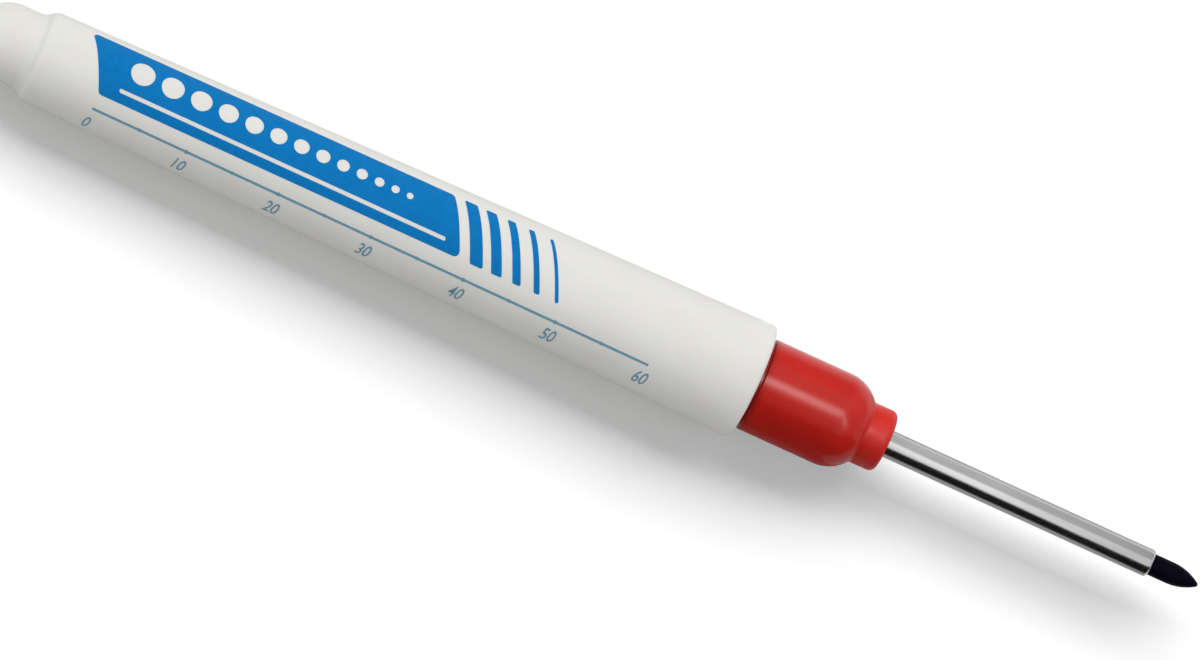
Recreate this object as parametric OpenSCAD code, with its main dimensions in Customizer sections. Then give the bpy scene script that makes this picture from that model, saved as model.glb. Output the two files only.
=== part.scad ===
// Deep hole marker: a fibre-reservoir marker whose nib runs through a slim steel tube,
// so that it reaches the bottom of a drilled hole.
// The marker lies along X with its nib towards +X. The origin is on its axis, at the barrel's mouth.
// Every outside diameter grows outwards from the ink reservoir, by the walls and gaps below.

/* [Ink reservoir] */
// Diameter of the fibre core that holds the ink
core_d = 6.2; // [5.4:0.1:7.4]
// Thickness of the film wrapped round the core
wrap_t = 0.13; // [0.08:0.01:0.3]

/* [Front section] */
// Wall of the skirt that goes into the barrel
skirt_wall = 0.9; // [0.7:0.1:1.5]
// Length of the skirt inside the barrel
skirt_len = 13; // [9:0.5:18]
// Step from the skirt's beads up to the cap seat, which rests on the barrel's mouth
shoulder_h = 0.25; // [0.2:0.05:0.6]
// Length of the cylinder that a cap slides on
seat_len = 8.7; // [6:0.1:14]
// Radius of the domed shoulder
dome_r = 4; // [3:0.1:6]
// Diameter of the neck that holds the tube
neck_d = 6.4; // [5.4:0.1:7.2]
// Length of the neck
neck_len = 2.65; // [2:0.05:6]
// Radius of the neck's front edge
neck_edge_r = 0.7; // [0.2:0.1:1]
// Radius of the hollow where the dome meets the neck
neck_fillet_r = 0.4; // [0.1:0.1:0.7]
// Wall of the boss round the tube, inside the section
boss_wall = 1.1; // [0.7:0.1:1.5]
// Thickness of the lip behind the tube
lip_t = 1.2; // [0.8:0.1:2.4]
// Depth of solid section behind the neck
dome_depth = 6.4; // [4.8:0.1:9]

/* [Nib tube] */
// Outer diameter of the steel tube
tube_d = 2.8; // [2.4:0.1:3.4]
// Wall of the steel tube
tube_wall = 0.26; // [0.15:0.01:0.4]
// Length of the tube in front of the neck
tube_out = 29; // [15:0.25:45]
// Length of the tube held inside the section
tube_grip = 14.5; // [11:0.5:18]
// Radius of the tube's rolled mouth
tube_edge_r = 0.45; // [0.42:0.01:0.7]

/* [Nib] */
// Length of the nib in front of the tube
nib_out = 5.1; // [4:0.05:8]
// Length of the nib's point
point_len = 3.05; // [2:0.05:3.8]
// Radius of the point's rounded end
point_r = 0.25; // [0.1:0.05:0.5]
// Length of the nib's tail inside the reservoir
nib_in = 10; // [6:0.5:20]
// Chamfer of the nib's tail
nib_chamfer = 0.4; // [0.1:0.1:0.7]

/* [Barrel] */
// Length of the barrel
barrel_len = 78; // [65:0.5:100]
// Wall of the barrel at its mouth
mouth_wall = 1.41; // [1:0.01:2]
// Wall of the barrel at its tail end
tail_wall = 1.25; // [1.05:0.01:1.8]
// Radius of the rim at the mouth
mouth_edge_r = 0.5; // [0.1:0.1:0.8]
// Radius of the rim at the tail end
tail_edge_r = 0.6; // [0.1:0.1:0.7]
// Lead-in chamfer inside the mouth
mouth_chamfer = 0.1; // [0.05:0.05:0.1]
// Number of ribs that centre the reservoir
rib_count = 6; // [3:1:10]
// Thickness of one rib
rib_t = 0.8; // [0.5:0.1:1.4]
// Height of a rib at its front end
rib_h = 0.8; // [0.5:0.1:1]

/* [End plug] */
// Diameter of the knob
knob_d = 7.8; // [7.4:0.1:8.2]
// Straight length of the knob, before its dome
knob_len = 2.8; // [1.5:0.1:6]
// Length of the shank inside the barrel
shank_len = 9; // [6:0.5:14]
// Wall of the hollow shank
shank_wall = 1.2; // [0.8:0.1:1.6]

/* [Beads and fits] */
// Number of sealing beads on the section's skirt
skirt_beads = 2; // [1:1:3]
// Number of sealing beads on the plug's shank
shank_beads = 1; // [1:1:2]
// Height of a sealing bead
bead_h = 0.1; // [0.05:0.05:0.2]
// Width of a sealing bead
bead_w = 1; // [0.6:0.1:1.6]
// Radial gap of the pieces that pull apart
slide_gap = 0.04; // [0.01:0.01:0.08]
// Radial gap of the pieces that stay together
press_gap = 0.02; // [0.01:0.01:0.04]
// Radial gap between the reservoir and the ribs
rib_gap = 0.05; // [0.02:0.01:0.15]
// Radial room between the reservoir and the section's skirt
skirt_room = 0.3; // [0.2:0.05:0.6]
// Radial room between the reservoir and the barrel's tail bore
tail_room = 0.2; // [0.15:0.01:0.4]
// Lengthwise gap between pieces that meet end to end
end_gap = 0.2; // [0.1:0.05:0.5]

/* [Hidden] */

turn_fn = 96;
arc_steps = 10;

// Radii, from the reservoir outwards
core_r = core_d / 2;
wrap_in_r = core_r + press_gap;
wrap_r = wrap_in_r + wrap_t;
skirt_in_r = wrap_r + skirt_room;
skirt_core_r = skirt_in_r + skirt_wall;
skirt_r = skirt_core_r + bead_h;
seat_r = skirt_r + shoulder_h;
socket_r = skirt_r + slide_gap;
mouth_r = socket_r + mouth_wall;
rib_tip_r = wrap_r + rib_gap;
front_bore_r = rib_tip_r + rib_h;
tail_bore_r = wrap_r + tail_room;
tail_r = tail_bore_r + tail_wall;
shank_r = tail_bore_r - slide_gap;
shank_core_r = shank_r - bead_h;
shank_in_r = shank_core_r - shank_wall;
knob_r = knob_d / 2;
neck_r = neck_d / 2;
tube_r = tube_d / 2;
tube_in_r = tube_r - tube_wall;
tube_hole_r = tube_r + press_gap;
boss_r = tube_hole_r + boss_wall;
nib_r = tube_in_r - slide_gap;
nib_hole_r = nib_r + slide_gap;

// Places along the axis, from the mouth
tail_x = -barrel_len;
socket_x = -skirt_len - end_gap;
shank_x = tail_x + shank_len;
tail_bore_x = shank_x + end_gap;
dome_x = seat_len + sqrt(dome_r * dome_r - pow(dome_r - seat_r + neck_r, 2));
neck_x = dome_x + neck_len;
tube_x = neck_x + tube_out;
tube_back_x = neck_x - tube_grip;
boss_x = tube_back_x - lip_t;
cavity_x = neck_x - neck_len - dome_depth;
core_front_x = boss_x - end_gap;
core_back_x = shank_x + end_gap;
nib_back_x = core_front_x - nib_in;
tip_x = tube_x + nib_out;
knob_x = tail_x - knob_len;

// Points [radius, place along the axis] of an arc, from angle from to angle to
function arc(centre, r, from, to) = [
    for (i = [0 : arc_steps])
        let (a = from + (to - from) * i / arc_steps)
        centre + r * [cos(a), sin(a)]
];

// Sealing beads on a shaft of radius r, evenly spaced between two places along the axis
function beads(r, from, to, count) = [
    for (i = [1 : count])
        let (x = from + (to - from) * i / (count + 1))
        each [
            [r, x - bead_w / 2],
            [r + bead_h, x - bead_w / 4],
            [r + bead_h, x + bead_w / 4],
            [r, x + bead_w / 2]
        ]
];

// The outline turned round the X axis
module turned(outline) {
    rotate([0, 90, 0])
        rotate_extrude($fn = turn_fn)
            polygon(outline);
}

// Tapered shell: cone outside with rounded rims, stepped bore inside
module barrel_shell() {
    taper = atan((mouth_r - tail_r) / barrel_len);
    mouth_c = [
        mouth_r - mouth_edge_r * tan(taper) - mouth_edge_r / cos(taper),
        -mouth_edge_r
    ];
    tail_c = [
        tail_r + tail_edge_r * tan(taper) - tail_edge_r / cos(taper),
        tail_x + tail_edge_r
    ];
    turned(concat(
        arc(tail_c, tail_edge_r, -90, -taper),
        arc(mouth_c, mouth_edge_r, -taper, 90),
        [
            [socket_r + mouth_chamfer, 0],
            [socket_r, -mouth_chamfer],
            [socket_r, socket_x],
            [front_bore_r, socket_x],
            [tail_bore_r, tail_bore_x],
            [tail_bore_r, tail_x]
        ]
    ));
}

// Ribs that hold the reservoir on the axis, rooted in the barrel's wall
module barrel_ribs() {
    root = (tail_r - tail_bore_r) / 3;
    for (i = [0 : rib_count - 1])
        rotate([360 * i / rib_count, 0, 0])
            translate([tail_bore_x, -rib_t / 2, rib_tip_r])
                cube([socket_x - tail_bore_x, rib_t, rib_h + root]);
}

module barrel() {
    color("whitesmoke") {
        barrel_shell();
        barrel_ribs();
    }
}

// Domed knob on a hollow shank, pushed into the barrel's tail
module end_plug() {
    color("whitesmoke")
        turned(concat(
            arc([0, knob_x], knob_r, -90, 0),
            [[knob_r, tail_x], [shank_core_r, tail_x]],
            beads(shank_core_r, tail_x, shank_x, shank_beads),
            [
                [shank_core_r, shank_x - bead_w],
                [shank_core_r - bead_h, shank_x],
                [shank_in_r, shank_x],
                [shank_in_r, knob_x],
                [0, knob_x]
            ]
        ));
}

// Outside of the section, from the skirt's end to the neck's front face
function section_outside() =
    let (
        dome_c = [seat_r - dome_r, seat_len],
        rise = neck_r + neck_fillet_r - dome_c[0],
        fillet_x = seat_len + sqrt(pow(dome_r + neck_fillet_r, 2) - rise * rise),
        meet = atan2(fillet_x - seat_len, rise)
    )
    concat(
        [
            [skirt_core_r - bead_h, -skirt_len],
            [skirt_core_r, -skirt_len + bead_w]
        ],
        beads(skirt_core_r, -skirt_len, 0, skirt_beads),
        [[skirt_core_r, 0], [seat_r, 0]],
        arc(dome_c, dome_r, 0, meet),
        arc([neck_r + neck_fillet_r, fillet_x], neck_fillet_r, 180 + meet, 180),
        arc([neck_r - neck_edge_r, neck_x - neck_edge_r], neck_edge_r, 0, 90)
    );

// Cap seat, domed shoulder and neck, with the boss and lip that hold the tube
module front_section() {
    color("firebrick")
        turned(concat(
            section_outside(),
            [
                [tube_hole_r, neck_x],
                [tube_hole_r, tube_back_x],
                [nib_hole_r, tube_back_x],
                [nib_hole_r, boss_x],
                [boss_r, boss_x],
                [boss_r, cavity_x],
                [skirt_in_r, cavity_x],
                [skirt_in_r, -skirt_len]
            ]
        ));
}

// Steel tube with a rolled-in mouth
module nib_tube() {
    lip = press_gap;
    roll = acos((tube_in_r + lip - tube_r + tube_edge_r) / tube_edge_r);
    color("silver")
        turned(concat(
            [[tube_in_r, tube_back_x], [tube_r, tube_back_x]],
            arc([tube_r - tube_edge_r, tube_x - tube_edge_r * sin(roll)], tube_edge_r, 0, roll),
            [[tube_in_r, tube_x]]
        ));
}

// Fibre rod from the reservoir to the bullet point
module nib() {
    run = point_len - point_r;
    ogive_r = (nib_r * nib_r - point_r * point_r + run * run) / (2 * (nib_r - point_r));
    meet = atan2(run, ogive_r - nib_r);
    color("midnightblue")
        turned(concat(
            [
                [0, nib_back_x],
                [nib_r - nib_chamfer, nib_back_x],
                [nib_r, nib_back_x + nib_chamfer]
            ],
            arc([nib_r - ogive_r, tip_x - point_len], ogive_r, 0, meet),
            arc([0, tip_x - point_r], point_r, meet, 90)
        ));
}

// Fibre core with the blind hole that the nib's tail presses into it
module ink_reservoir() {
    hole_x = nib_back_x - end_gap;
    color("slateblue")
        turned([
            [0, core_back_x],
            [core_r, core_back_x],
            [core_r, core_front_x],
            [nib_hole_r, core_front_x],
            [nib_hole_r, hole_x],
            [0, hole_x]
        ]);
}

// Film wrapped round the core, open at both ends
module reservoir_wrap() {
    color("ghostwhite")
        turned([
            [wrap_in_r, core_back_x],
            [wrap_r, core_back_x],
            [wrap_r, core_front_x],
            [wrap_in_r, core_front_x]
        ]);
}

barrel();
end_plug();
front_section();
nib_tube();
nib();
ink_reservoir();
reservoir_wrap();
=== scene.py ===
"""Deep hole marker: fine turned pieces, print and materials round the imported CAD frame."""
import math

import bmesh
import bpy
from mathutils import Matrix, Vector
from mathutils.geometry import delaunay_2d_cdt


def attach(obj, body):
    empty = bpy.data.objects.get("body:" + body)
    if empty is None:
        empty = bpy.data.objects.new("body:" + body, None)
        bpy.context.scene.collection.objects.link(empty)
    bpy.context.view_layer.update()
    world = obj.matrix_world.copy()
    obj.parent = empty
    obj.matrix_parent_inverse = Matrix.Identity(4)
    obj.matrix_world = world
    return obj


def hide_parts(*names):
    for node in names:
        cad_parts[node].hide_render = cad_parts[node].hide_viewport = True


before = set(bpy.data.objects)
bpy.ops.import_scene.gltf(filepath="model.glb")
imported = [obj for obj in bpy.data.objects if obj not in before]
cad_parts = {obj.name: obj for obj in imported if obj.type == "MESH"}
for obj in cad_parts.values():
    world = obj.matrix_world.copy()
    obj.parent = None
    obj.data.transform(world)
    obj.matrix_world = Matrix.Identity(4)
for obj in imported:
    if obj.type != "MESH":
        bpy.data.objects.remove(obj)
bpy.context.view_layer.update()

MM = 0.001

# Fineness of the meshes
TURN = 192          # sides of a turned piece
ARC = 20            # steps of a rounded edge
DOME_STEPS = 40     # steps of a large dome
OGIVE_STEPS, POINT_STEPS = 32, 12
BEAD_STEPS = 12
LAST_STEP = 4       # degrees of the step that ends a dome
RIB_POINTS = 5      # points on the cross-section of a rib
WALL_POINTS = 32    # points on the wall between two ribs
SOFT_ANGLE = 32     # faces that meet at less than this many degrees are shaded smooth
MERGE = 2e-4        # points that are closer than this, in mm, are one
NEAR = 1e-6         # lengths below this, in mm, count as none

# Radii in mm, as in the part
BARREL_R, BARREL_TAIL_R = 6.0, 4.7
SKIN = 0.012        # the barrel's outside lies this far inside its CAD solid
MOUTH_R, TAIL_R = BARREL_R - SKIN, BARREL_TAIL_R - SKIN
SOCKET_R, FRONT_BORE_R, TAIL_BORE_R, RIB_TIP_R = 4.59, 4.1, 3.45, 3.3
CORE_R, WRAP_IN_R, WRAP_R = 3.1, 3.12, 3.25
SKIRT_IN_R, SKIRT_CORE_R, SEAT_R = 3.55, 4.45, 4.8
SHANK_CORE_R, SHANK_IN_R, KNOB_R = 3.31, 2.11, 3.9
NECK_R, BOSS_R = 3.2, 2.52
TUBE_R, TUBE_IN_R, TUBE_HOLE_R = 1.4, 1.14, 1.42
NIB_R, NIB_HOLE_R = 1.1, 1.14

# Places along the axis in mm, from the barrel's mouth
TAIL_X, SHANK_X, KNOB_X = -78.0, -69.0, -80.8
TAIL_BORE_X, SOCKET_X, SKIRT_X = -68.8, -13.2, -13.0
CORE_BACK_X, CORE_FRONT_X = -68.8, -1.35
NIB_BACK_X, NIB_HOLE_X = -11.35, -11.55
BOSS_X, TUBE_BACK_X, CAVITY_X = -1.15, 0.05, 5.5
SEAT_X, NECK_X, TUBE_X, TIP_X = 8.7, 14.55, 43.55, 48.65

# Edges, beads and ribs in mm
MOUTH_EDGE, MOUTH_CHAMFER, CORE_CHAMFER = 0.5, 0.1, 0.15
DOME_R, NECK_EDGE, NECK_FILLET = 4.0, 0.7, 0.4
TUBE_EDGE, RIM_W = 0.45, 0.02       # rolled mouth of the tube and its flat rim
POINT_LEN, POINT_R, NIB_CHAMFER = 3.05, 0.25, 0.4
BEAD_H, BEAD_W = 0.1, 1.0
GROOVE_D, GROOVE_W = 0.31, 0.44     # groove between the barrel and the red cylinder
LIP_D, LIP_W = 0.06, 0.08           # soft lip of that groove
STEP_R, STEP_SLOPE = 1.25, 46       # soft step from the barrel to the knob, slope in degrees
RIBS, RIB_T = 6, 0.8
BORE_STEP = 0.02                    # step from the ribbed bore to the tail bore

# Taper of the barrel on each side, in degrees
TAPER = math.degrees(math.atan((MOUTH_R - TAIL_R) / -TAIL_X))

# The side of the marker that faces the camera, as an angle above the floor on the -Y side
FACING = math.radians(90.0)
ACROSS = Vector((0, -math.cos(FACING), math.sin(FACING)))
DOWN = Vector((0, -math.sin(FACING), -math.cos(FACING)))


# Outlines, points (radius, place along the axis)
def arc(centre, r, start, end, steps=ARC):
    """Points of an arc, from angle start to angle end in degrees."""
    turns = [math.radians(start + (end - start) * i / steps) for i in range(steps + 1)]
    return [(centre[0] + r * math.cos(t), centre[1] + r * math.sin(t)) for t in turns]


def beads(r, start, end, count):
    """Round sealing beads, evenly spaced between two places along the axis."""
    points = []
    for i in range(1, count + 1):
        middle = start + (end - start) * i / (count + 1)
        for k in range(BEAD_STEPS + 1):
            share = k / BEAD_STEPS
            rise = math.sin(math.pi * share) ** 2
            points.append((r + BEAD_H * rise, middle + BEAD_W * (share - 0.5)))
    return points


def barrel_r(x):
    """Outside radius of the barrel at a place along the axis."""
    return MOUTH_R + (MOUTH_R - TAIL_R) * x / -TAIL_X


def tail_step():
    """The soft step at the tail, half on the barrel's edge and half at the foot of the knob."""
    slope = math.radians(STEP_SLOPE)
    x = TAIL_X + STEP_R * math.sin(slope)
    centre = barrel_r(x) - STEP_R / math.cos(math.radians(TAPER)), x
    edge = arc(centre, STEP_R, -STEP_SLOPE, -TAPER)
    foot_r = (edge[0][0] - KNOB_R) / (1 - math.cos(slope))
    centre = KNOB_R + foot_r, TAIL_X - foot_r * math.sin(slope)
    return edge, arc(centre, foot_r, 180, 180 - STEP_SLOPE)


def plug_outline():
    """Domed knob with a hollow foot, and a hollow shank with one bead."""
    points = arc((0, KNOB_X), KNOB_R, -90, -LAST_STEP, DOME_STEPS)
    points[0] = (0, KNOB_X - KNOB_R)
    points.append((KNOB_R, KNOB_X))
    points += tail_step()[1]
    points.append((SHANK_CORE_R, TAIL_X))
    points += beads(SHANK_CORE_R, TAIL_X, SHANK_X, 1)
    points += [
        (SHANK_CORE_R, SHANK_X - BEAD_W), (SHANK_CORE_R - BEAD_H, SHANK_X),
        (SHANK_IN_R, SHANK_X), (SHANK_IN_R, KNOB_X), (0, KNOB_X),
    ]
    return points


def section_outline():
    """Skirt with two beads, groove, cylinder, domed shoulder and neck, with a boss round the tube's hole."""
    dome_c = SEAT_R - DOME_R, SEAT_X
    rise = NECK_R + NECK_FILLET - dome_c[0]
    fillet_x = SEAT_X + math.sqrt((DOME_R + NECK_FILLET) ** 2 - rise ** 2)
    dome_end = math.degrees(math.atan2(fillet_x - SEAT_X, rise))
    points = [(SKIRT_CORE_R - BEAD_H, SKIRT_X), (SKIRT_CORE_R, SKIRT_X + BEAD_W)]
    points += beads(SKIRT_CORE_R, SKIRT_X, 0, 2)
    points += [
        (SKIRT_CORE_R, 0), (SEAT_R - GROOVE_D, 0), (SEAT_R - GROOVE_D, GROOVE_W - LIP_W),
        (SEAT_R - LIP_D, GROOVE_W), (SEAT_R, GROOVE_W + LIP_W),
    ]
    points += arc(dome_c, DOME_R, 0, dome_end, DOME_STEPS)
    points += arc((NECK_R + NECK_FILLET, fillet_x), NECK_FILLET, 180 + dome_end, 180)
    points += arc((NECK_R - NECK_EDGE, NECK_X - NECK_EDGE), NECK_EDGE, 0, 90)
    points += [
        (TUBE_HOLE_R, NECK_X), (TUBE_HOLE_R, TUBE_BACK_X), (NIB_HOLE_R, TUBE_BACK_X),
        (NIB_HOLE_R, BOSS_X), (BOSS_R, BOSS_X), (BOSS_R, CAVITY_X),
        (SKIRT_IN_R, CAVITY_X), (SKIRT_IN_R, SKIRT_X),
    ]
    return points


def tube_outline():
    """Tube with its mouth rolled in."""
    roll = math.degrees(math.acos((TUBE_IN_R + RIM_W - TUBE_R + TUBE_EDGE) / TUBE_EDGE))
    roll_c = TUBE_R - TUBE_EDGE, TUBE_X - TUBE_EDGE * math.sin(math.radians(roll))
    points = [(TUBE_IN_R, TUBE_BACK_X), (TUBE_R, TUBE_BACK_X)]
    return points + arc(roll_c, TUBE_EDGE, 0, roll) + [(TUBE_IN_R, TUBE_X)]


def nib_outline():
    """Rod with a chamfered tail and a bullet point."""
    run = POINT_LEN - POINT_R
    ogive_r = (NIB_R ** 2 - POINT_R ** 2 + run ** 2) / (2 * (NIB_R - POINT_R))
    ogive_end = math.degrees(math.atan2(run, ogive_r - NIB_R))
    points = [
        (0, NIB_BACK_X), (NIB_R - NIB_CHAMFER, NIB_BACK_X), (NIB_R, NIB_BACK_X + NIB_CHAMFER),
    ]
    points += arc((NIB_R - ogive_r, TIP_X - POINT_LEN), ogive_r, 0, ogive_end, OGIVE_STEPS)
    points += arc((0, TIP_X - POINT_R), POINT_R, ogive_end, 90 - LAST_STEP, POINT_STEPS)
    return points + [(0, TIP_X)]


def core_outline():
    """Chamfered fibre core with the blind hole that the nib presses into."""
    return [
        (0, CORE_BACK_X), (CORE_R - CORE_CHAMFER, CORE_BACK_X), (CORE_R, CORE_BACK_X + CORE_CHAMFER),
        (CORE_R, CORE_FRONT_X - CORE_CHAMFER), (CORE_R - CORE_CHAMFER, CORE_FRONT_X),
        (NIB_HOLE_R, CORE_FRONT_X), (NIB_HOLE_R, NIB_HOLE_X), (0, NIB_HOLE_X),
    ]


def wrap_outline():
    """Film round the core."""
    return [
        (WRAP_IN_R, CORE_BACK_X), (WRAP_R, CORE_BACK_X),
        (WRAP_R, CORE_FRONT_X), (WRAP_IN_R, CORE_FRONT_X),
    ]


# Meshes
def linked(name, data):
    """A new object in the scene."""
    obj = bpy.data.objects.new(name, data)
    bpy.context.scene.collection.objects.link(obj)
    return obj


def finish_mesh(bm, name, material):
    """Turns a bmesh in mm into an object in metres, with smooth shading and hard edges."""
    bmesh.ops.remove_doubles(bm, verts=bm.verts, dist=MERGE)
    bmesh.ops.recalc_face_normals(bm, faces=bm.faces)
    bmesh.ops.scale(bm, vec=(MM, MM, MM), verts=bm.verts)
    mesh = bpy.data.meshes.new(name)
    bm.to_mesh(mesh)
    bm.free()
    mesh.shade_smooth()
    mesh.set_sharp_from_angle(angle=math.radians(SOFT_ANGLE))
    mesh.materials.append(material)
    return linked(name, mesh)


def turned(name, outline, material, closed=True):
    """The outline turned round the X axis. An outline that isn't closed starts and ends on the axis."""
    bm = bmesh.new()
    rings = []
    for r, x in outline:
        if r < NEAR:
            rings.append([bm.verts.new((x, 0, 0))] * TURN)
            continue
        ring = []
        for k in range(TURN):
            a = 2 * math.pi * (k + 0.5) / TURN
            ring.append(bm.verts.new((x, r * math.cos(a), r * math.sin(a))))
        rings.append(ring)
    pairs = list(zip(rings, rings[1:]))
    if closed:
        pairs.append((rings[-1], rings[0]))
    for one, two in pairs:
        for k in range(TURN):
            j = (k + 1) % TURN
            corners = list(dict.fromkeys([one[k], one[j], two[j], two[k]]))
            if len(corners) > 2:
                bm.faces.new(corners)
    return finish_mesh(bm, name, material)


def round_ring(r, x, turns):
    """Points of a circle round the axis."""
    return [(x, r * math.sin(t), r * math.cos(t)) for t in turns]


def ribbed_ring(r, x):
    """Cross-section of the bore with its ribs: the points of each rib, then the wall up to the next one."""
    points = []
    half = RIB_T / 2
    wall = math.asin(half / r)
    step = (2 * math.pi / RIBS - 2 * wall) / (WALL_POINTS + 1)
    for i in range(RIBS):
        turn = 2 * math.pi * i / RIBS
        flat = [
            (-half, r * math.cos(wall)), (-half, RIB_TIP_R), (0, RIB_TIP_R),
            (half, RIB_TIP_R), (half, r * math.cos(wall)),
        ]
        for k in range(1, WALL_POINTS + 1):
            t = wall + step * k
            flat.append((r * math.sin(t), r * math.cos(t)))
        for y, z in flat:
            points.append((
                x,
                y * math.cos(turn) + z * math.sin(turn),
                z * math.cos(turn) - y * math.sin(turn),
            ))
    return points


def ribbed_barrel(name, material):
    """Tapered shell with rounded rims, a stepped bore and the ribs that hold the reservoir."""
    count = RIBS * (RIB_POINTS + WALL_POINTS)
    # The first rib's middle point is at angle 0, in the round rings too
    turns = [2 * math.pi * (k - RIB_POINTS // 2) / count for k in range(count)]
    mouth_c = barrel_r(-MOUTH_EDGE) - MOUTH_EDGE / math.cos(math.radians(TAPER)), -MOUTH_EDGE
    outside = tail_step()[0] + arc(mouth_c, MOUTH_EDGE, -TAPER, 90)
    socket = [
        (SOCKET_R + MOUTH_CHAMFER, 0), (SOCKET_R, -MOUTH_CHAMFER), (SOCKET_R, SOCKET_X),
    ]
    rings = [round_ring(r, x, turns) for r, x in outside + socket]
    rings.append(ribbed_ring(FRONT_BORE_R, SOCKET_X))
    rings.append(ribbed_ring(TAIL_BORE_R + BORE_STEP, TAIL_BORE_X))
    rings.append(round_ring(TAIL_BORE_R, TAIL_BORE_X, turns))
    rings.append(round_ring(TAIL_BORE_R, TAIL_X, turns))
    bm = bmesh.new()
    made = [[bm.verts.new(p) for p in ring] for ring in rings]
    for one, two in zip(made, made[1:] + made[:1]):
        for k in range(count):
            j = (k + 1) % count
            # A face across the axis is split, because beside a rib its four corners can be bent inwards
            across = len({round(v.co.x, 6) for v in (one[k], one[j], two[j], two[k])}) == 1
            if across:
                bm.faces.new((one[k], one[j], two[k]))
                bm.faces.new((one[j], two[j], two[k]))
            else:
                bm.faces.new((one[k], one[j], two[j], two[k]))
    return finish_mesh(bm, name, material)


# Print on the barrel, drawn flat as (place along the axis, arc length round the barrel) in mm
PRINT_UP, PRINT_DOWN = 0.012, 0.02  # how far the ink stands out of the barrel and reaches into it
ROUND_STEP, LONG_STEP = 0.22, 3.0   # how finely it is cut round and along the barrel
SNAP = 1e-3         # points this near to a cut lie on it
LEAST_AREA = 1e-5   # flat triangles below half of this, in square mm, are left out
CORNER_STEPS = 6

# Scale: a line with small marks and plain figures
SCALE_X, SCALE_LEN, SCALE_V, SCALE_TILT = -70.8, 60, 2.67, 0.0036
MARK_EVERY, FIGURE_EVERY = 5, 10
LINE_T, MARK_W, MARK_H, SMALL_MARK_H = 0.28, 0.24, 0.08, 0.05
FIGURE_V, FIGURE_SIZE, FIGURE_NARROW, FIGURE_BOLD = 4.74, 2.6, 0.56, 0.018
FIGURE_LEAN, FIGURE_STEPS = 0.22, 6

# Band with a row of dots and a thin line left white, and bars that thin out towards the mouth
BAND_X0, BAND_X1, BAND_V0, BAND_V1, BAND_CORNER = -71.0, -32.0, -5.3, 1.0, 0.5
SLANT = -0.45
DOTS, DOT_X, DOT_V, DOT_GAP, DOT_SIDES = 13, -69.0, -2.75, 0.8, 40
DOT_R, DOT_SHRINK = 1.25, 0.075
STRIPE_X0, STRIPE_X1, STRIPE_V0, STRIPE_V1, STRIPE_CORNER = -69.2, -34.0, -0.4, 0.0, 0.15
BARS, BAR_X, BAR_EVERY, BAR_CORNER = 5, -30.9, 2.3, 0.18
BAR_W, BAR_SHRINK = 1.4, 0.25


def on_barrel(x, v, lift):
    """The point of the flat drawing at (x, v), wrapped round the barrel and lifted off it."""
    r = barrel_r(x)
    t = v / r
    p = (r + lift) * (math.cos(t) * ACROSS + math.sin(t) * DOWN)
    return (x, p.y, p.z)


def printed(name, flat_shape, material):
    """Wraps a flat shape (points, faces) round the barrel as a thin closed skin of ink."""
    points, faces = flat_shape
    bm = bmesh.new()
    verts = [bm.verts.new((x, v, 0)) for x, v in points]
    for f in faces:
        bm.faces.new([verts[i] for i in f])
    bmesh.ops.remove_doubles(bm, verts=bm.verts, dist=MERGE)
    for axis, step in ((1, ROUND_STEP), (0, LONG_STEP)):
        low = min(v.co[axis] for v in bm.verts)
        high = max(v.co[axis] for v in bm.verts)
        normal = (axis == 0, axis == 1, 0)
        for i in range(1, int((high - low) / step) + 1):
            place = [(low + step * i) * n for n in normal]
            bmesh.ops.bisect_plane(
                bm, geom=bm.verts[:] + bm.edges[:] + bm.faces[:], dist=SNAP,
                plane_co=place, plane_no=normal,
            )
    bmesh.ops.triangulate(bm, faces=bm.faces)
    bmesh.ops.dissolve_degenerate(bm, dist=SNAP, edges=bm.edges)
    flat = {v: (v.co.x, v.co.y) for v in bm.verts}
    top_faces = list(bm.faces)
    rims = [e for e in bm.edges if len(e.link_faces) == 1]
    under = {v: bm.verts.new(on_barrel(*flat[v], -PRINT_DOWN)) for v in flat}
    for f in top_faces:
        bm.faces.new([under[v] for v in reversed(f.verts)])
    for e in rims:
        a, b = e.verts
        bm.faces.new((a, b, under[b], under[a]))
    for v, (x, arc_v) in flat.items():
        v.co = on_barrel(x, arc_v, PRINT_UP)
    return finish_mesh(bm, name, material)


def rounded(points, radius):
    """A polygon with its corners rounded."""
    out = []
    count = len(points)
    for i in range(count):
        before, here, after = (Vector(points[(i + k) % count]) for k in (-1, 0, 1))
        one, two = (before - here).normalized(), (after - here).normalized()
        half = math.acos(max(-1, min(1, one.dot(two)))) / 2
        centre = here + (one + two).normalized() * radius / math.sin(half)
        start = here + one * radius / math.tan(half) - centre
        end = here + two * radius / math.tan(half) - centre
        sweep = start.angle_signed(end)
        for k in range(CORNER_STEPS + 1):
            turn = Matrix.Rotation(-sweep * k / CORNER_STEPS, 2)
            out.append(tuple(centre + turn @ start))
    return out


def inside(point, loop):
    """True if the point lies in the closed loop."""
    x, y = point
    crossings = 0
    for (x0, y0), (x1, y1) in zip(loop, loop[1:] + loop[:1]):
        if (y0 > y) != (y1 > y) and x < x0 + (y - y0) / (y1 - y0) * (x1 - x0):
            crossings += 1
    return crossings % 2 == 1


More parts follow.
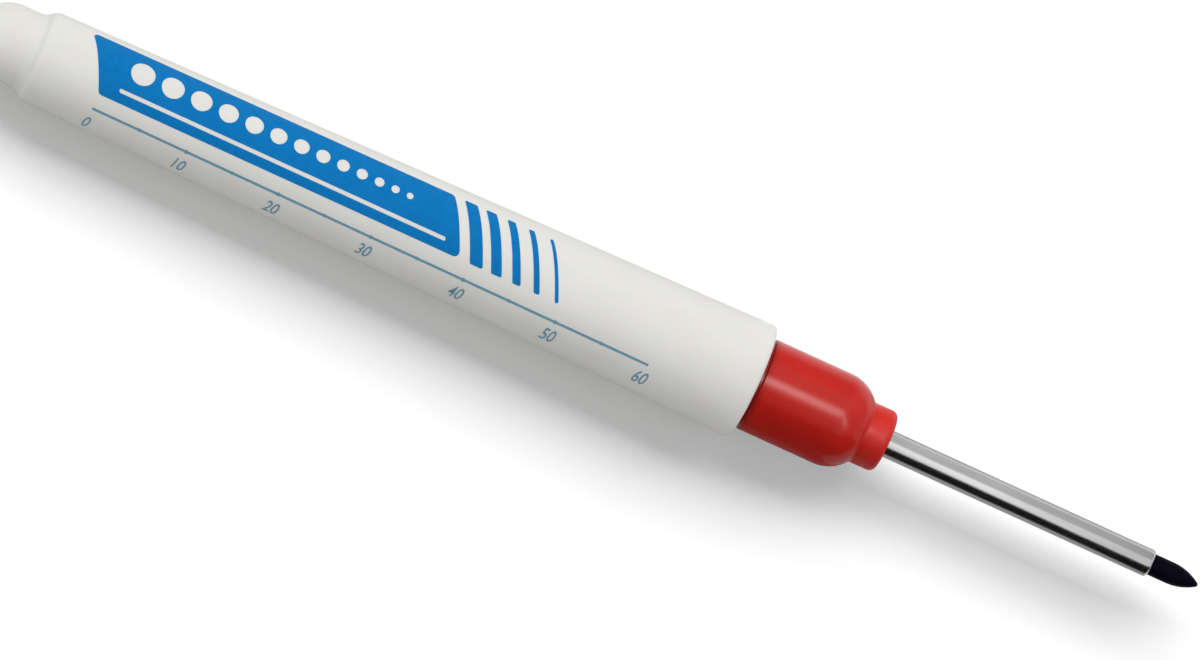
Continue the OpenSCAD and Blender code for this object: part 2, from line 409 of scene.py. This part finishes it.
def filled(loops):
    """Triangles of an outline with holes: the first loop is the outside."""
    points, edges = [], []
    for loop in loops:
        first = len(points)
        points += [Vector(p) for p in loop]
        count = len(loop)
        edges += [(first + k, first + (k + 1) % count) for k in range(count)]
    verts, _, faces, *_ = delaunay_2d_cdt(points, edges, [], 0, NEAR)
    kept = []
    for f in faces:
        a, b, c = (verts[i] for i in f)
        middle = (a + b + c) / 3
        if abs((b - a).cross(c - a)) < LEAST_AREA:
            continue
        if inside(middle, loops[0]) and not any(inside(middle, h) for h in loops[1:]):
            kept.append(f)
    return [tuple(v) for v in verts], kept


def slanted(x0, x1, v0, v1, radius):
    """A slanted bar between two places along the axis, with rounded corners."""
    lean = SLANT * (v1 - v0)
    return rounded([(x0 + lean, v0), (x1 + lean, v0), (x1, v1), (x0, v1)], radius)


def figures(text, x, v):
    """Plain figures as a flat shape, leaning as the printed scale does, with their middle at (x, v)."""
    curve = bpy.data.curves.new("figures", "FONT")
    curve.body = text
    curve.size = FIGURE_SIZE
    curve.shear = FIGURE_LEAN
    curve.offset = FIGURE_BOLD
    curve.fill_mode = "FRONT"
    curve.resolution_u = FIGURE_STEPS
    obj = linked("figures", curve)
    bpy.context.view_layer.update()
    graph = bpy.context.evaluated_depsgraph_get()
    mesh = bpy.data.meshes.new_from_object(obj.evaluated_get(graph))
    flat = [(p.co.x, p.co.y) for p in mesh.vertices]
    middle = [(min(axis) + max(axis)) / 2 for axis in zip(*flat)]
    points = [(x + FIGURE_NARROW * (a - middle[0]), v - (b - middle[1])) for a, b in flat]
    faces = [tuple(p.vertices) for p in mesh.polygons]
    bpy.data.objects.remove(obj)
    bpy.data.curves.remove(curve)
    bpy.data.meshes.remove(mesh)
    return points, faces


def scale_edge(side):
    """One edge of the scale's line with its marks, from 0 to the end."""
    edge = []
    for mm in range(0, SCALE_LEN + 1, MARK_EVERY):
        reach = LINE_T / 2
        if 0 < mm < SCALE_LEN:
            reach += SMALL_MARK_H if mm % FIGURE_EVERY else MARK_H
        middle = SCALE_V + SCALE_TILT * mm
        for shift, half in ((-1, LINE_T / 2), (-1, reach), (1, reach), (1, LINE_T / 2)):
            edge.append((SCALE_X + mm + shift * MARK_W / 2, middle + side * half))
    return edge


def band_loops():
    """The band's outline, then its holes: dots that get smaller, and a thin line."""
    loops = [slanted(BAND_X0, BAND_X1, BAND_V0, BAND_V1, BAND_CORNER)]
    turns = [2 * math.pi * k / DOT_SIDES for k in range(DOT_SIDES)]
    x = DOT_X
    for i in range(DOTS):
        r = DOT_R - DOT_SHRINK * i
        x += r
        loops.append([(x + r * math.cos(t), DOT_V + r * math.sin(t)) for t in turns])
        x += r + DOT_GAP
    loops.append(slanted(STRIPE_X0, STRIPE_X1, STRIPE_V0, STRIPE_V1, STRIPE_CORNER))
    return loops


def bar_loop(i):
    """The outline of one of the bars beside the band."""
    x = BAR_X + BAR_EVERY * i
    return slanted(x, x + BAR_W - BAR_SHRINK * i, BAND_V0, BAND_V1, BAR_CORNER)


# Materials
PAINT_WANDER = 0.1   # how far the ends of each band of painted light and shade wander along the axis, in mm


def material(name, rough, ior=1.5, metal=0.0):
    """A new material: itself, its node tree, its shader and the place on the object in metres."""
    mat = bpy.data.materials.new(name)
    mat.use_nodes = True
    tree = mat.node_tree
    shader = tree.nodes["Principled BSDF"]
    shader.inputs["Roughness"].default_value = rough
    shader.inputs["IOR"].default_value = ior
    shader.inputs["Metallic"].default_value = metal
    return mat, tree, shader, object_place(tree)


def bare_material(name):
    """A new material without a shader: itself, its node tree and the socket for the shader."""
    mat = bpy.data.materials.new(name)
    mat.use_nodes = True
    tree = mat.node_tree
    tree.nodes.remove(tree.nodes["Principled BSDF"])
    return mat, tree, tree.nodes["Material Output"].inputs["Surface"]


def object_place(tree):
    """The place on the object, in metres."""
    return tree.nodes.new("ShaderNodeTexCoord").outputs["Object"]


def along_axis(tree, place):
    """Place along the marker's axis, in metres."""
    node = tree.nodes.new("ShaderNodeSeparateXYZ")
    tree.links.new(place, node.inputs["Vector"])
    return node.outputs["X"]


def stretched(tree, place, along):
    """The place with its share along the axis scaled, so that a noise is drawn out that way."""
    node = tree.nodes.new("ShaderNodeMapping")
    node.inputs["Scale"].default_value = (along, 1, 1)
    tree.links.new(place, node.inputs["Vector"])
    return node.outputs["Vector"]


def noise(tree, place, scale, detail=3.0, rough=0.5):
    """A noise with about scale waves to the metre."""
    node = tree.nodes.new("ShaderNodeTexNoise")
    node.inputs["Scale"].default_value = scale
    node.inputs["Detail"].default_value = detail
    node.inputs["Roughness"].default_value = rough
    tree.links.new(place, node.inputs["Vector"])
    return node.outputs["Fac"]


def blend(tree, share, stops):
    """A colour that follows share through the stops (place, colour)."""
    node = tree.nodes.new("ShaderNodeValToRGB")
    ramp = node.color_ramp
    while len(ramp.elements) < len(stops):
        ramp.elements.new(0.5)
    for element, (place, colour) in zip(ramp.elements, stops):
        element.position = place
        element.color = (*colour, 1)
    tree.links.new(share, node.inputs["Fac"])
    return node.outputs["Color"]


def ranged(tree, share, low, high, ends=(0, 1)):
    """low where share is at the first of the ends, high where it is at the other."""
    node = tree.nodes.new("ShaderNodeMapRange")
    node.inputs["From Min"].default_value, node.inputs["From Max"].default_value = ends
    node.inputs["To Min"].default_value = low
    node.inputs["To Max"].default_value = high
    tree.links.new(share, node.inputs["Value"])
    return node.outputs["Result"]


def spread(tree, share, low, high):
    """A noise, spread from its middle range to low and high."""
    return ranged(tree, share, low, high, (0.3, 0.7))


def reckoned(tree, one, two, operation="ADD"):
    """The sum of two values, or what another operation makes of them."""
    node = tree.nodes.new("ShaderNodeMath")
    node.operation = operation
    tree.links.new(one, node.inputs[0])
    tree.links.new(two, node.inputs[1])
    return node.outputs[0]


def mixed(tree, share, plain, linked_colour):
    """The plain colour where share is 0, the linked one where it is 1."""
    node = tree.nodes.new("ShaderNodeMixRGB")
    node.inputs["Color1"].default_value = (*plain, 1)
    tree.links.new(linked_colour, node.inputs["Color2"])
    tree.links.new(share, node.inputs["Fac"])
    return node.outputs["Color"]


def bumps(tree, shader, heights):
    """Bumps from (height, depth in mm, strength), the coarsest first."""
    normal = None
    for height, depth, strength in heights:
        node = tree.nodes.new("ShaderNodeBump")
        node.inputs["Distance"].default_value = depth * MM
        node.inputs["Strength"].default_value = strength
        tree.links.new(height, node.inputs["Height"])
        if normal:
            tree.links.new(normal, node.inputs["Normal"])
        normal = node.outputs["Normal"]
    tree.links.new(normal, shader.inputs["Normal"])


def moulded(name, tints, rough, ior, wander, glow=None, matt=None, painted_light_and_shade=()):
    """Moulded plastic: cloudy tint, fine skin, roughness that wanders, and a little light carried inside.

    matt is (start, end, more): the roughness grows by more between two places along the axis.
    Each entry of painted light and shade is (colour, stops): the share of that colour painted over
    the tint, as (place, share) along the axis.
    """
    mat, tree, shader, place = material(name, rough, ior)
    cloud = noise(tree, stretched(tree, place, 0.4), scale=420, detail=4)
    skin = noise(tree, place, scale=1500, detail=4, rough=0.6)
    flow = noise(tree, stretched(tree, place, 0.15), scale=900, detail=2)
    colour = blend(tree, cloud, tints)
    # Painted light and shade: each colour is laid over the tint between places along the axis
    for painted_colour, stops in painted_light_and_shade:
        start, end = stops[0][0], stops[-1][0]
        shift = spread(tree, cloud, -PAINT_WANDER * MM, PAINT_WANDER * MM)
        uneven = reckoned(tree, along_axis(tree, place), shift)
        bare = [((x - start) / (end - start), (1 - share,) * 3) for x, share in stops]
        share = blend(tree, ranged(tree, uneven, 0, 1, (start * MM, end * MM)), bare)
        colour = mixed(tree, share, painted_colour, colour)
    tree.links.new(colour, shader.inputs["Base Color"])
    shine = spread(tree, skin, rough - wander, rough + wander)
    if matt:
        start, end, more = matt
        growth = ranged(tree, along_axis(tree, place), 0, more, (start * MM, end * MM))
        shine = reckoned(tree, shine, growth)
    tree.links.new(shine, shader.inputs["Roughness"])
    bumps(tree, shader, [(flow, 0.02, 0.12), (skin, 0.01, 0.12)])
    if glow:
        shader.inputs["Subsurface Weight"].default_value = glow
        shader.inputs["Subsurface Radius"].default_value = (1.0, 0.8, 0.6)
        shader.inputs["Subsurface Scale"].default_value = 1.2 * MM
    return mat


def drawn_steel(name):
    """Polished steel with the fine lines of drawing along the tube."""
    mat, tree, shader, place = material(name, rough=0.2, metal=1.0)
    lines = noise(tree, stretched(tree, place, 0.02), scale=9000, detail=4, rough=0.6)
    smears = noise(tree, stretched(tree, place, 0.12), scale=1100)
    tints = [(0.3, (0.44, 0.44, 0.44)), (0.7, (0.52, 0.515, 0.51))]
    tree.links.new(blend(tree, smears, tints), shader.inputs["Base Color"])
    tree.links.new(spread(tree, lines, 0.15, 0.27), shader.inputs["Roughness"])
    bumps(tree, shader, [(smears, 0.006, 0.15), (lines, 0.004, 0.25)])
    return mat


def inked_fibre(name, dark, light, rough):
    """Bonded fibres along the axis, soaked with ink."""
    mat, tree, shader, place = material(name, rough, ior=1.1)
    strands = noise(tree, stretched(tree, place, 0.06), scale=5200, detail=4, rough=0.65)
    wet = noise(tree, place, scale=700)
    tints = [(0.3, dark), (0.75, light)]
    tree.links.new(blend(tree, strands, tints), shader.inputs["Base Color"])
    tree.links.new(spread(tree, wet, rough - 0.12, rough + 0.1), shader.inputs["Roughness"])
    bumps(tree, shader, [(wet, 0.03, 0.3), (strands, 0.03, 0.7)])
    return mat


def ink(name, tints):
    """A film of printing ink with a slightly uneven coat."""
    mat, tree, shader, place = material(name, rough=0.38, ior=1.15)
    coat = noise(tree, place, scale=1400, detail=4, rough=0.6)
    tree.links.new(blend(tree, coat, tints), shader.inputs["Base Color"])
    tree.links.new(spread(tree, coat, 0.32, 0.46), shader.inputs["Roughness"])
    bumps(tree, shader, [(coat, 0.006, 0.15)])
    return mat


white = moulded(
    "barrel_white", [(0.3, (0.83, 0.82, 0.78)), (0.7, (0.86, 0.85, 0.815))],
    rough=0.45, ior=1.4, wander=0.06, glow=0.12,
)
# Matt neck with painted light on it, and painted shade in the groove at the barrel's mouth
red = moulded(
    "section_red", [(0.3, (0.405, 0.0075, 0.0036)), (0.7, (0.46, 0.01, 0.0045))],
    rough=0.25, ior=1.33, wander=0.015, matt=(11.8, 12.8, 0.16),
    painted_light_and_shade=[
        # Painted shade where the barrel's lip shades the red, from the groove to 1.1 mm ahead of it
        ((0.25, 0.005, 0.003), ((-0.6, 0), (0, 1), (0.3, 1), (1.1, 0))),
        # Painted light on the neck, standing in for light thrown back from the floor
        ((0.62, 0.014, 0.008), ((11.4, 0), (12.9, 0.4))),
    ],
)
steel = drawn_steel("tube_steel")
tip_fibre = inked_fibre("nib_fibre", (0.001, 0.0008, 0.003), (0.0044, 0.0032, 0.013), rough=0.5)
core_fibre = inked_fibre("core_fibre", (0.008, 0.007, 0.03), (0.05, 0.045, 0.15), rough=0.7)
film = moulded(
    "wrap_film", [(0.3, (0.76, 0.77, 0.8)), (0.7, (0.84, 0.84, 0.86))],
    rough=0.22, ior=1.5, wander=0.05,
)
blue = ink("print_blue", [(0.3, (0.003, 0.185, 0.51)), (0.7, (0.005, 0.21, 0.57))])
pale_blue = ink("print_pale_blue", [(0.3, (0.155, 0.335, 0.44)), (0.7, (0.19, 0.385, 0.505))])


# The pieces of the marker
pieces = []


def piece(obj, body, node):
    """A piece that stands for a CAD node."""
    pieces.append(obj)
    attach(obj, body)
    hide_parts(node)
    return obj


def print_piece(obj):
    """A piece of print on the barrel."""
    pieces.append(obj)
    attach(obj, "barrel")


barrel = piece(ribbed_barrel("barrel_shell", white), "barrel", "barrel")
plug = piece(
    turned("end_plug_turned", plug_outline(), white, closed=False),
    "end_plug", "end_plug",
)
section = piece(
    turned("front_section_turned", section_outline(), red),
    "front_section", "front_section",
)
section.visible_diffuse = False     # it would throw pink light on the floor
piece(turned("nib_tube_turned", tube_outline(), steel), "front_section", "nib_tube")
piece(turned("nib_point", nib_outline(), tip_fibre, closed=False), "nib", "nib")
piece(
    turned("reservoir_core", core_outline(), core_fibre, closed=False),
    "barrel", "ink_reservoir",
)
piece(turned("reservoir_film", wrap_outline(), film), "barrel", "reservoir_wrap")

scale_line = scale_edge(-1) + scale_edge(1)[::-1]
print_piece(printed("print_scale", filled([scale_line]), pale_blue))
for mm in range(0, SCALE_LEN + 1, FIGURE_EVERY):
    shape = figures(str(mm), SCALE_X + mm, FIGURE_V)
    print_piece(printed(f"print_figure_{mm}", shape, pale_blue))
print_piece(printed("print_band", filled(band_loops()), blue))
for i in range(BARS):
    print_piece(printed(f"print_bar_{i + 1}", filled([bar_loop(i)]), blue))


# Stage: a pale floor that touches the barrel along its length
FLOOR_TINT, FLOOR_BOUNCE = 1.0, 0.62    # the floor's colour to the eye, and to the light it throws back
FLOOR_REACH = 4000.0
FLOOR_SLOPE = (BARREL_R - BARREL_TAIL_R) / -TAIL_X
FADE = 18, 52                           # places along the axis between which a card's level changes


def floor_z(x):
    """Height of the floor under the axis: it touches the barrel's lowest line."""
    return -(BARREL_R / math.cos(math.atan(FLOOR_SLOPE)) + x * FLOOR_SLOPE)


def card(name, xs, rows, mat, level=False):
    """A sheet between two places along the axis, through rows of (y, height over the floor) in mm.

    A level sheet has its heights over the axis.
    """
    bm = bmesh.new()
    made = []
    for y, up in rows:
        row = [(x, y, up if level else floor_z(x) + up) for x in xs]
        made.append([bm.verts.new(Vector(p) * MM) for p in row])
    for one, two in zip(made, made[1:]):
        bm.faces.new((one[0], one[1], two[1], two[0]))
    mesh = bpy.data.meshes.new(name)
    bm.to_mesh(mesh)
    bm.free()
    mesh.materials.append(mat)
    obj = linked(name, mesh)
    return obj


def seen_rays(tree):
    """1 for rays that the camera, a reflection or a clear piece sees."""
    rays = tree.nodes.new("ShaderNodeLightPath").outputs
    seen = rays["Is Camera Ray"]
    for other in ("Is Glossy Ray", "Is Transmission Ray"):
        seen = reckoned(tree, seen, rays[other], "MAXIMUM")
    return seen


def floor_paint():
    """Matt and pale."""
    mat, tree, surface = bare_material("floor")
    matt = tree.nodes.new("ShaderNodeBsdfDiffuse")
    tint = ranged(tree, seen_rays(tree), FLOOR_BOUNCE, FLOOR_TINT)
    tree.links.new(tint, matt.inputs["Color"])
    tree.links.new(matt.outputs[0], surface)
    return mat


def gloss_card(name, xs, rows, glow, far_glow=None, level=False):
    """A card that is seen only in gloss. It glows evenly, or from glow to far_glow along FADE."""
    mat, tree, surface = bare_material(name)
    light = tree.nodes.new("ShaderNodeEmission")
    light.inputs["Strength"].default_value = glow
    if far_glow is not None:
        x = along_axis(tree, object_place(tree))
        fade = ranged(tree, x, glow, far_glow, [end * MM for end in FADE])
        tree.links.new(fade, light.inputs["Strength"])
    tree.links.new(light.outputs[0], surface)
    obj = card(name, xs, rows, mat, level)
    obj.visible_camera = False
    obj.visible_diffuse = False
    obj.visible_shadow = False
    obj.visible_transmission = False


floor = card("floor", (-FLOOR_REACH, FLOOR_REACH), ((-FLOOR_REACH, 0), (FLOOR_REACH, 0)), floor_paint())

# Cards in front of, under, behind and over the marker
gloss_card("flag", (-260, 220), ((-20, 0.2), (-60, 0.4), (-60, 116)), 0.012)
gloss_card("rim_flag", (-120, 0), ((-20, 0.1), (-3, 0.1)), 0.05)
gloss_card("section_rim_flag", (0, 14), ((-20, 0.1), (-3, 0.1)), 0.16)
gloss_card("back_flag", (-260, -1), ((6, 0.2), (60, 0.4), (60, 116)), 0.4)
gloss_card("section_flag", (1, 17.5), ((25, 0.2), (25, 48)), 0.5)
gloss_card("top_flag", (-260, 24), ((-60, 109), (0, 109)), 0.25, level=True)
gloss_card("under_card", (14, 47), ((-58, 0.5), (8, 0.5)), 0.5)
gloss_card("side_card", (14, 100), ((40, 0.2), (40, 68)), 0.97, far_glow=0.62)

# World: white to the eye, plain fill on the object
FILL = 0.48
world = bpy.data.worlds.new("studio")
bpy.context.scene.world = world
world.use_nodes = True
back = world.node_tree.nodes["Background"]
back.inputs["Color"].default_value = (1, 1, 1, 1)
world.node_tree.links.new(
    ranged(world.node_tree, seen_rays(world.node_tree), FILL, 1.0), back.inputs["Strength"]
)


def softbox(name, up, width, length, reach, radiance, target,
            twist=0, side=0, only=(), diffuse=True, glossy=True):
    """A soft lamp that faces the target, up degrees above the floor on the -Y side. Sizes are in metres.

    side turns it from there round the upright through the target, and twist turns it in its own plane.
    only lists the objects that it lights, if it doesn't light all of them.
    """
    lamp = bpy.data.lights.new(name, "AREA")
    lamp.shape = "RECTANGLE"
    lamp.size, lamp.size_y = length, width
    lamp.energy = radiance * math.pi * length * width
    turn = math.radians(up)
    spin = Matrix.Rotation(math.radians(side), 3, "Z")
    z = spin @ Vector((0, -math.cos(turn), math.sin(turn)))
    x = Matrix.Rotation(math.radians(twist), 3, z) @ (spin @ Vector((1, 0, 0)))
    y = z.cross(x)
    obj = linked(name, lamp)
    obj.location = Vector(target) + z * reach
    obj.rotation_mode = "QUATERNION"
    obj.rotation_quaternion = Matrix((x, y, z)).transposed().to_quaternion()
    obj.visible_camera = False
    obj.visible_diffuse = diffuse
    obj.visible_glossy = glossy
    if only:
        lit = bpy.data.collections.new(name)
        for one in only:
            lit.objects.link(one)
        obj.light_linking.receiver_collection = lit


# Large lamps light the marker, its red section and the floor, each at its own angle
KEY = dict(width=0.42, length=1.0, reach=0.8, glossy=False)
MIDDLE = (-0.018, 0, 0)
softbox("key", up=128, radiance=2.75, target=MIDDLE, only=pieces, **KEY)
softbox("floor_key", up=131.5, radiance=4.98, target=MIDDLE, only=[floor], **KEY)
softbox("section_key", up=148, radiance=2.6, target=(0.4, 0, 0), only=[section], **KEY)

# Small lamps that are seen only in gloss, and a low fill on the tail
softbox(
    "strip", up=108.2, width=0.023, length=0.019, reach=0.08, radiance=10.4, target=(0.011, 0, 0),
    only=[section], diffuse=False,
)
softbox(
    "turned_strip", up=96, width=0.008, length=0.06, reach=0.08, radiance=10.0, target=(0.046, 0, 0),
    twist=-49, only=[section], diffuse=False,
)
softbox(
    "tail_fill", up=5, width=0.06, length=0.3, reach=0.45, radiance=4.5, target=(-0.078, 0, 0),
    side=-90, only=[barrel, plug], glossy=False,
)
softbox(
    "overhead", up=92, width=0.13, length=0.04, reach=0.15, radiance=0.8, target=(0.032, 0, 0),
    diffuse=False,
)

# Camera at the photograph's angle
FRAME_W, FRAME_H = 1200, 660
PX_PER_MM = 10.15
MOUTH_PX = 752.6, 382.0     # where the middle of the barrel's mouth is in the frame
LEAN, TURN_BACK = math.radians(24.57), math.radians(6.3)
LENS, SENSOR = 600.0, 36.0
backward = math.cos(TURN_BACK) * ACROSS + math.sin(TURN_BACK) * Vector((-1, 0, 0))
along = Vector((1, 0, 0))
along = (along - along.dot(backward) * backward).normalized()
right = math.cos(LEAN) * along + math.sin(LEAN) * backward.cross(along)
above = backward.cross(right)
centre = right * ((FRAME_W / 2 - MOUTH_PX[0]) / PX_PER_MM)
centre += above * ((MOUTH_PX[1] - FRAME_H / 2) / PX_PER_MM)
distance = FRAME_W / PX_PER_MM * MM * LENS / SENSOR
camera_data = bpy.data.cameras.new("camera")
camera_data.lens, camera_data.sensor_width = LENS, SENSOR
camera_data.clip_start, camera_data.clip_end = 0.05, 50
camera = linked("camera", camera_data)
camera.rotation_mode = "QUATERNION"
camera.rotation_quaternion = Matrix((right, above, backward)).transposed().to_quaternion()
camera.location = centre * MM + backward * distance
bpy.context.scene.camera = camera

bpy.context.scene.view_settings.view_transform = "Standard"
